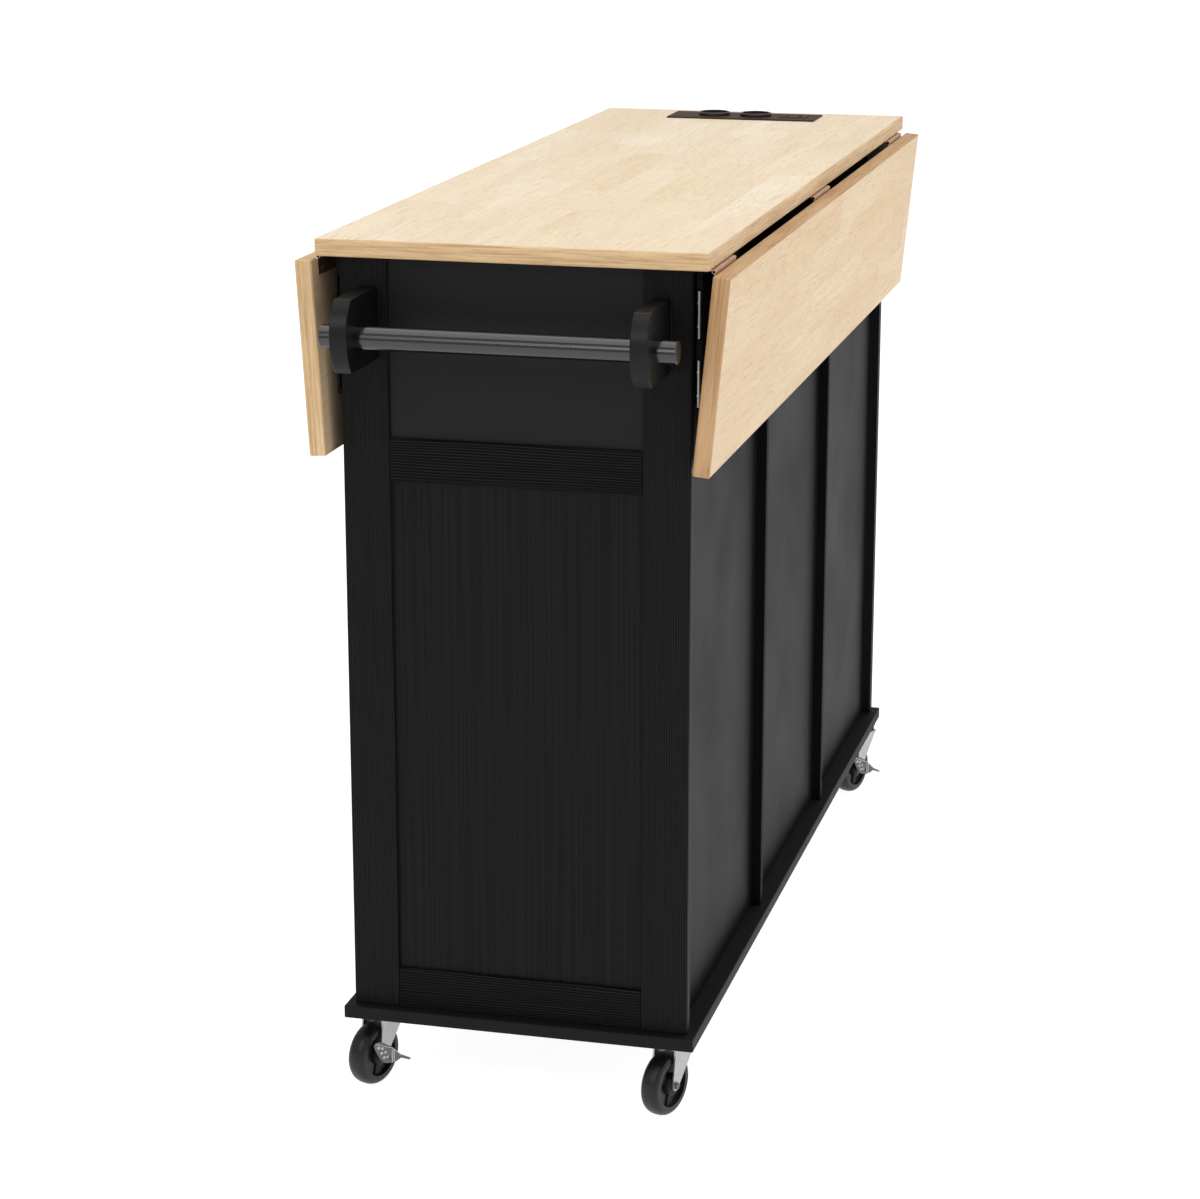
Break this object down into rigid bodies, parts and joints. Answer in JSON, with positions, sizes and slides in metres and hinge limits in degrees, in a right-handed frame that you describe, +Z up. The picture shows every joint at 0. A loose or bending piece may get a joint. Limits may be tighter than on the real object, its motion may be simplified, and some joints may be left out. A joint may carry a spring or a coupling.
{
  "type": "drop leaf kitchen cart",
  "caption": "Rolling kitchen cart: butcher block worktop with drop leaves both sides, black cabinet with doors and drawers, towel rail, inset power strip, swivel casters.",
  "frame": {"origin": "bottom centre of the bounding box at rest, on the floor the casters stand on", "axes": "+X along the length towards the end with the towel rail, +Y towards the back with the three recessed panels, +Z up"},
  "size_m": [1.313, 0.4536, 0.9465],
  "materials": {
    "oak_block": "light butcher block foil, satin",
    "black_board": "black wood-grain foil on board",
    "base_board": "black foil on board, satin",
    "zinc_steel": "zinc plated, pressed",
    "bronze_steel": "bronzed hinge steel",
    "wheel_rubber": "matt black",
    "dark_plastic": "moulded, satin",
    "satin_black": "satin black paint"
  },
  "bodies": {
    "cart": {"back_leaf_hinge_far": "bronze_steel", "back_leaf_hinge_middle": "bronze_steel", "back_leaf_hinge_near": "bronze_steel", "back_leaf_support_far": "black_board", "back_leaf_support_near": "black_board", "back_rail_bracket": "black_board", "base_plate": "base_board", "far_back_panel": "black_board", "far_end_back_stile": "black_board", "far_end_board": "black_board", "far_end_bottom_rail": "black_board", "far_end_front_stile": "black_board", "far_end_middle_rail": "black_board", "far_partition": "black_board", "far_shelf": "black_board", "first_socket": "dark_plastic", "front_apron": "black_board", "front_leaf_hinge_far": "bronze_steel", "front_leaf_hinge_middle": "bronze_steel", "front_leaf_hinge_near": "bronze_steel", "front_leaf_support_far": "black_board", "front_leaf_support_near": "black_board", "front_rail_bracket": "black_board", "middle_back_panel": "black_board", "near_back_panel": "black_board", "near_end_back_stile": "black_board", "near_end_board": "black_board", "near_end_bottom_rail": "black_board", "near_end_front_stile": "black_board", "near_end_middle_rail": "black_board", "near_partition": "black_board", "near_shelf": "black_board", "power_strip_housing": "dark_plastic", "second_socket": "dark_plastic", "towel_bar": "satin_black", "usb_charger_insert": "dark_plastic", "worktop": "oak_block"},
    "near_front_swivel": {"near_front_caster_fork": "zinc_steel"},
    "near_front_wheel": {"near_front_caster_wheel": "wheel_rubber"},
    "near_front_brake": {"near_front_brake_lever": "zinc_steel"},
    "near_back_swivel": {"near_back_caster_fork": "zinc_steel"},
    "near_back_wheel": {"near_back_caster_wheel": "wheel_rubber"},
    "far_front_swivel": {"far_front_caster_fork": "zinc_steel"},
    "far_front_wheel": {"far_front_caster_wheel": "wheel_rubber"},
    "far_back_swivel": {"far_back_caster_fork": "zinc_steel"},
    "far_back_wheel": {"far_back_caster_wheel": "wheel_rubber"},
    "far_back_brake": {"far_back_brake_lever": "zinc_steel"},
    "back_leaf": {"back_leaf": "oak_block"},
    "front_leaf": {"front_leaf": "oak_block"},
    "near_door": {"near_door": "black_board", "near_door_knob": "satin_black"},
    "far_door": {"far_door": "black_board", "far_door_knob": "satin_black"},
    "lower_drawer": {"lower_drawer": "black_board", "lower_drawer_knob": "satin_black"},
    "upper_drawer": {"upper_drawer": "black_board", "upper_drawer_knob": "satin_black"}
  },
  "joints": [
    {"name": "back_leaf_fold", "type": "hinge", "parent": "cart", "child": "back_leaf", "pos_m": [-0.0415, 0.2065, 0.9194], "axis": [1, 0, 0], "range_deg": [0, 95.5]},
    {"name": "front_leaf_fold", "type": "hinge", "parent": "cart", "child": "front_leaf", "pos_m": [-0.0415, -0.2065, 0.9194], "axis": [-1, 0, 0], "range_deg": [0, 93.2]},
    {"name": "near_door_hinge", "type": "hinge", "parent": "cart", "child": "near_door", "pos_m": [0.5397, -0.1845, 0.102], "axis": [0, 0, 1], "range_deg": [0, 95]},
    {"name": "far_door_hinge", "type": "hinge", "parent": "cart", "child": "far_door", "pos_m": [-0.6227, -0.1845, 0.102], "axis": [0, 0, -1], "range_deg": [0, 95]},
    {"name": "lower_drawer_slide", "type": "slide", "parent": "cart", "child": "lower_drawer", "axis": [0, -1, 0], "range_m": [0, 0.25]},
    {"name": "upper_drawer_slide", "type": "slide", "parent": "cart", "child": "upper_drawer", "axis": [0, -1, 0], "range_m": [0, 0.25]},
    {"name": "near_front_swivel", "type": "hinge", "parent": "cart", "child": "near_front_swivel", "pos_m": [0.51, -0.1645, 0.088], "axis": [0, 0, 1], "continuous": true},
    {"name": "near_front_wheel_spin", "type": "hinge", "parent": "near_front_swivel", "child": "near_front_wheel", "pos_m": [0.53349, -0.17305, 0.035], "axis": [0.342, 0.9397, 0], "continuous": true},
    {"name": "near_front_brake_press", "type": "hinge", "parent": "near_front_swivel", "child": "near_front_brake", "pos_m": [0.53349, -0.17305, 0.035], "axis": [0.342, 0.9397, 0], "range_deg": [0, 15]},
    {"name": "near_back_swivel", "type": "hinge", "parent": "cart", "child": "near_back_swivel", "pos_m": [0.51, 0.1645, 0.088], "axis": [0, 0, 1], "continuous": true},
    {"name": "near_back_wheel_spin", "type": "hinge", "parent": "near_back_swivel", "child": "near_back_wheel", "pos_m": [0.53349, 0.15595, 0.035], "axis": [0.342, 0.9397, 0], "continuous": true},
    {"name": "far_front_swivel", "type": "hinge", "parent": "cart", "child": "far_front_swivel", "pos_m": [-0.6015, -0.175, 0.088], "axis": [0, 0, 1], "continuous": true},
    {"name": "far_front_wheel_spin", "type": "hinge", "parent": "far_front_swivel", "child": "far_front_wheel", "pos_m": [-0.57801, -0.18355, 0.035], "axis": [0.342, 0.9397, 0], "continuous": true},
    {"name": "far_back_swivel", "type": "hinge", "parent": "cart", "child": "far_back_swivel", "pos_m": [-0.6015, 0.175, 0.088], "axis": [0, 0, 1], "continuous": true},
    {"name": "far_back_wheel_spin", "type": "hinge", "parent": "far_back_swivel", "child": "far_back_wheel", "pos_m": [-0.57801, 0.16645, 0.035], "axis": [0.342, 0.9397, 0], "continuous": true},
    {"name": "far_back_brake_press", "type": "hinge", "parent": "far_back_swivel", "child": "far_back_brake", "pos_m": [-0.57801, 0.16645, 0.035], "axis": [0.342, 0.9397, 0], "range_deg": [0, 15]}
  ]
}
